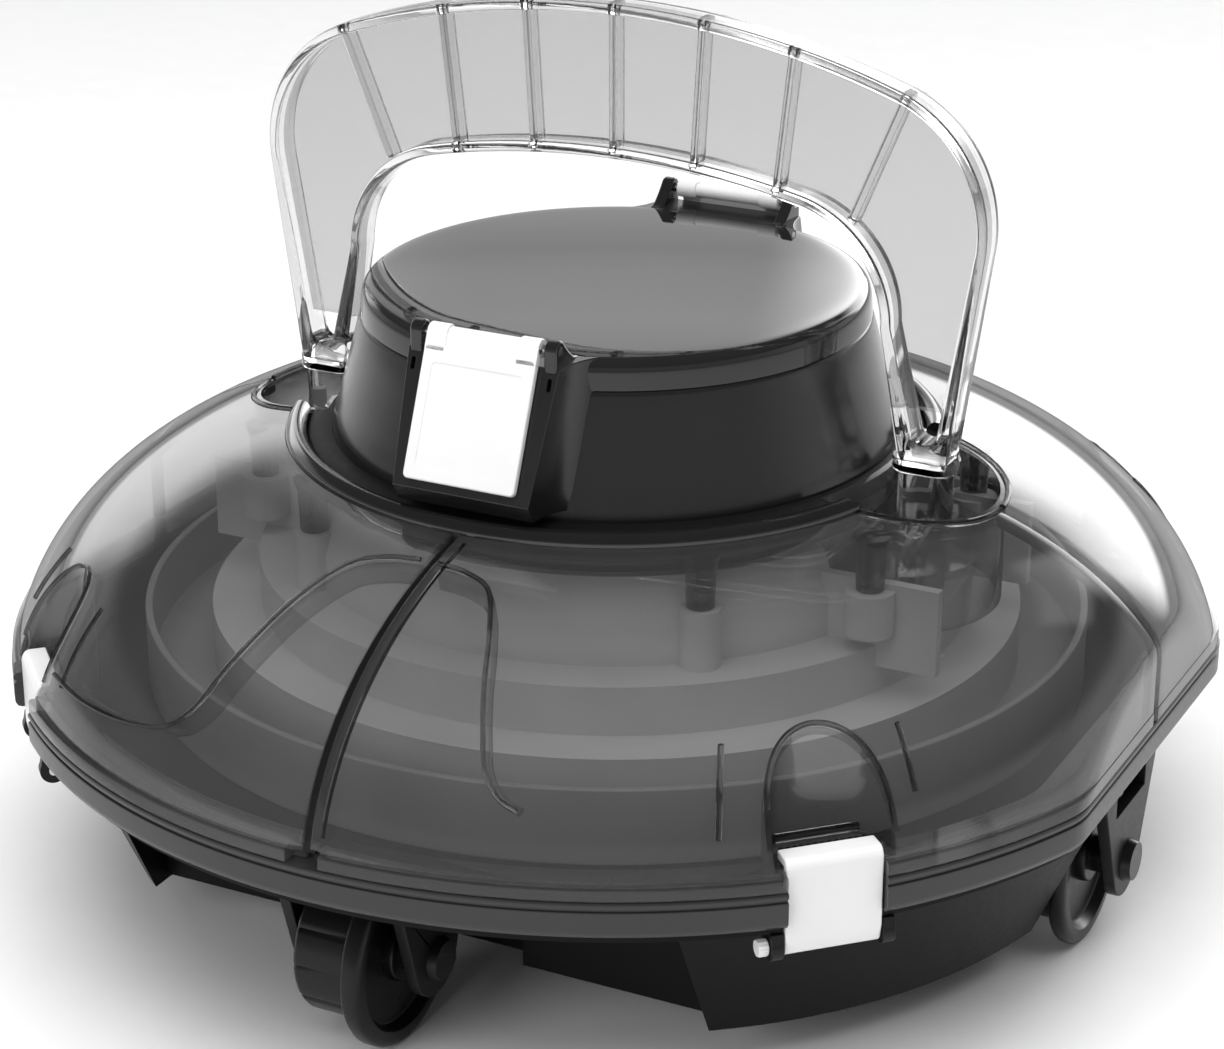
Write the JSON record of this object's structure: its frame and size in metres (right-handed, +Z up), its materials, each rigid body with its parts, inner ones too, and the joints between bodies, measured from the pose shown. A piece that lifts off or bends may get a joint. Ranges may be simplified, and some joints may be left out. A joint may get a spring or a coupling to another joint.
{
  "type": "cordless robotic pool cleaner",
  "caption": "Disc-shaped cordless pool cleaner with a smoked clear cover, a black central hub with hinged outlet flaps, snap latches, wheels and an arched clear handle.",
  "frame": {"origin": "on the ground under the centre of the disc", "axes": "+Z up, -Y towards the front outlet, +X along the span of the handle"},
  "size_m": [0.376, 0.3998, 0.2875],
  "materials": {
    "base_black": "satin",
    "band_charcoal": "satin",
    "seal_rubber": "matte",
    "smoke_cover": "gloss",
    "hub_black": "gloss",
    "lid_gloss": "gloss",
    "white_satin": "satin",
    "clear_handle": "gloss",
    "steel": "brushed",
    "wheel_black": "satin",
    "inner_grey": "satin",
    "screen_mesh": "woven",
    "case_dark": "satin",
    "motor_can": "satin",
    "propeller_white": "satin",
    "cell_wrap": "gloss",
    "board_green": "satin"
  },
  "bodies": {
    "hull": {"chassis_tub": "base_black", "latch_brackets": "base_black", "fork_front": "base_black", "fork_rear": "base_black", "fork_left": "base_black", "fork_right": "base_black", "axle_caps": "base_black", "mouth_front": "base_black", "mouth_rear": "base_black", "rim_band": "band_charcoal", "rim_gasket": "seal_rubber", "seam_strips": "seal_rubber", "neck_gasket": "seal_rubber", "shaft_seals": "seal_rubber", "cover_front_left": "smoke_cover", "cover_front_right": "smoke_cover", "cover_rear_left": "smoke_cover", "cover_rear_right": "smoke_cover", "hub_housing": "hub_black", "nozzle_front": "hub_black", "nozzle_rear": "hub_black", "cover_collar": "hub_black", "charge_port": "hub_black", "handle_socket_left": "hub_black", "handle_socket_right": "hub_black", "hub_lid": "lid_gloss", "latch_pins": "white_satin", "handle": "clear_handle", "flap_pins": "steel", "handle_screws": "steel", "wheel_axles": "steel", "tray_screws": "steel", "inlet_pins": "steel", "inner_housing": "inner_grey", "filter_tray": "inner_grey", "duct_front": "inner_grey", "duct_rear": "inner_grey", "filter_screens": "screen_mesh", "motor_case": "case_dark", "motor_case_lid": "case_dark", "motor_front": "motor_can", "motor_rear": "motor_can", "battery_pack": "cell_wrap", "circuit_board": "board_green"},
    "front_outlet_flap": {"flap_front": "white_satin"},
    "rear_outlet_flap": {"flap_rear": "white_satin"},
    "front_left_latch": {"latch_front_left": "white_satin"},
    "front_right_latch": {"latch_front_right": "white_satin"},
    "rear_left_latch": {"latch_rear_left": "white_satin"},
    "rear_right_latch": {"latch_rear_right": "white_satin"},
    "front_wheel": {"wheel_front": "wheel_black"},
    "rear_wheel": {"wheel_rear": "wheel_black"},
    "left_wheel": {"wheel_left": "wheel_black"},
    "right_wheel": {"wheel_right": "wheel_black"},
    "front_propeller": {"propeller_front": "propeller_white"},
    "rear_propeller": {"propeller_rear": "propeller_white"},
    "front_inlet_valve": {"inlet_flap_front": "seal_rubber"},
    "rear_inlet_valve": {"inlet_flap_rear": "seal_rubber"},
    "button": {"power_button": "white_satin"},
    "port_cap": {"charge_cap": "hub_black"}
  },
  "joints": [
    {"name": "front_outlet_flap_hinge", "type": "hinge", "parent": "hull", "child": "front_outlet_flap", "pos_m": [0, -0.0863, 0.2025], "axis": [-1, 0, 0], "range_deg": [0, 80]},
    {"name": "rear_outlet_flap_hinge", "type": "hinge", "parent": "hull", "child": "rear_outlet_flap", "pos_m": [0, 0.0863, 0.2025], "axis": [1, 0, 0], "range_deg": [0, 80]},
    {"name": "front_left_latch_hinge", "type": "hinge", "parent": "hull", "child": "front_left_latch", "pos_m": [-0.13647, -0.13647, 0.0595], "axis": [0.7071, -0.7071, 0], "range_deg": [0, 100]},
    {"name": "front_right_latch_hinge", "type": "hinge", "parent": "hull", "child": "front_right_latch", "pos_m": [0.13647, -0.13647, 0.0595], "axis": [0.7071, 0.7071, 0], "range_deg": [0, 100]},
    {"name": "rear_left_latch_hinge", "type": "hinge", "parent": "hull", "child": "rear_left_latch", "pos_m": [-0.13647, 0.13647, 0.0595], "axis": [-0.7071, -0.7071, 0], "range_deg": [0, 100]},
    {"name": "rear_right_latch_hinge", "type": "hinge", "parent": "hull", "child": "rear_right_latch", "pos_m": [0.13647, 0.13647, 0.0595], "axis": [-0.7071, 0.7071, 0], "range_deg": [0, 100]},
    {"name": "front_wheel_spin", "type": "hinge", "parent": "hull", "child": "front_wheel", "pos_m": [0, -0.153, 0.03], "axis": [1, 0, 0], "continuous": true},
    {"name": "rear_wheel_spin", "type": "hinge", "parent": "hull", "child": "rear_wheel", "pos_m": [0, 0.153, 0.03], "axis": [1, 0, 0], "continuous": true},
    {"name": "left_wheel_spin", "type": "hinge", "parent": "hull", "child": "left_wheel", "pos_m": [-0.165, 0, 0.03], "axis": [1, 0, 0], "continuous": true},
    {"name": "right_wheel_spin", "type": "hinge", "parent": "hull", "child": "right_wheel", "pos_m": [0.165, 0, 0.03], "axis": [1, 0, 0], "continuous": true},
    {"name": "front_propeller_spin", "type": "hinge", "parent": "hull", "child": "front_propeller", "pos_m": [0, -0.06, 0.177], "axis": [0, -1, 0], "continuous": true},
    {"name": "rear_propeller_spin", "type": "hinge", "parent": "hull", "child": "rear_propeller", "pos_m": [0, 0.06, 0.177], "axis": [0, 1, 0], "continuous": true},
    {"name": "front_inlet_valve_hinge", "type": "hinge", "parent": "hull", "child": "front_inlet_valve", "pos_m": [0, -0.0646, 0.036], "axis": [-1, 0, 0], "range_deg": [0, 60]},
    {"name": "rear_inlet_valve_hinge", "type": "hinge", "parent": "hull", "child": "rear_inlet_valve", "pos_m": [0, 0.0646, 0.036], "axis": [1, 0, 0], "range_deg": [0, 60]},
    {"name": "button_press", "type": "slide", "parent": "hull", "child": "button", "axis": [0.866, -0.5, 0], "range_m": [0, 0.0015], "stiffness_N_per_m": 400, "springref_m": -0.001},
    {"name": "port_cap_pull", "type": "slide", "parent": "hull", "child": "port_cap", "axis": [-0.5592, 0.829, 0], "range_m": [0, 0.015]}
  ]
}
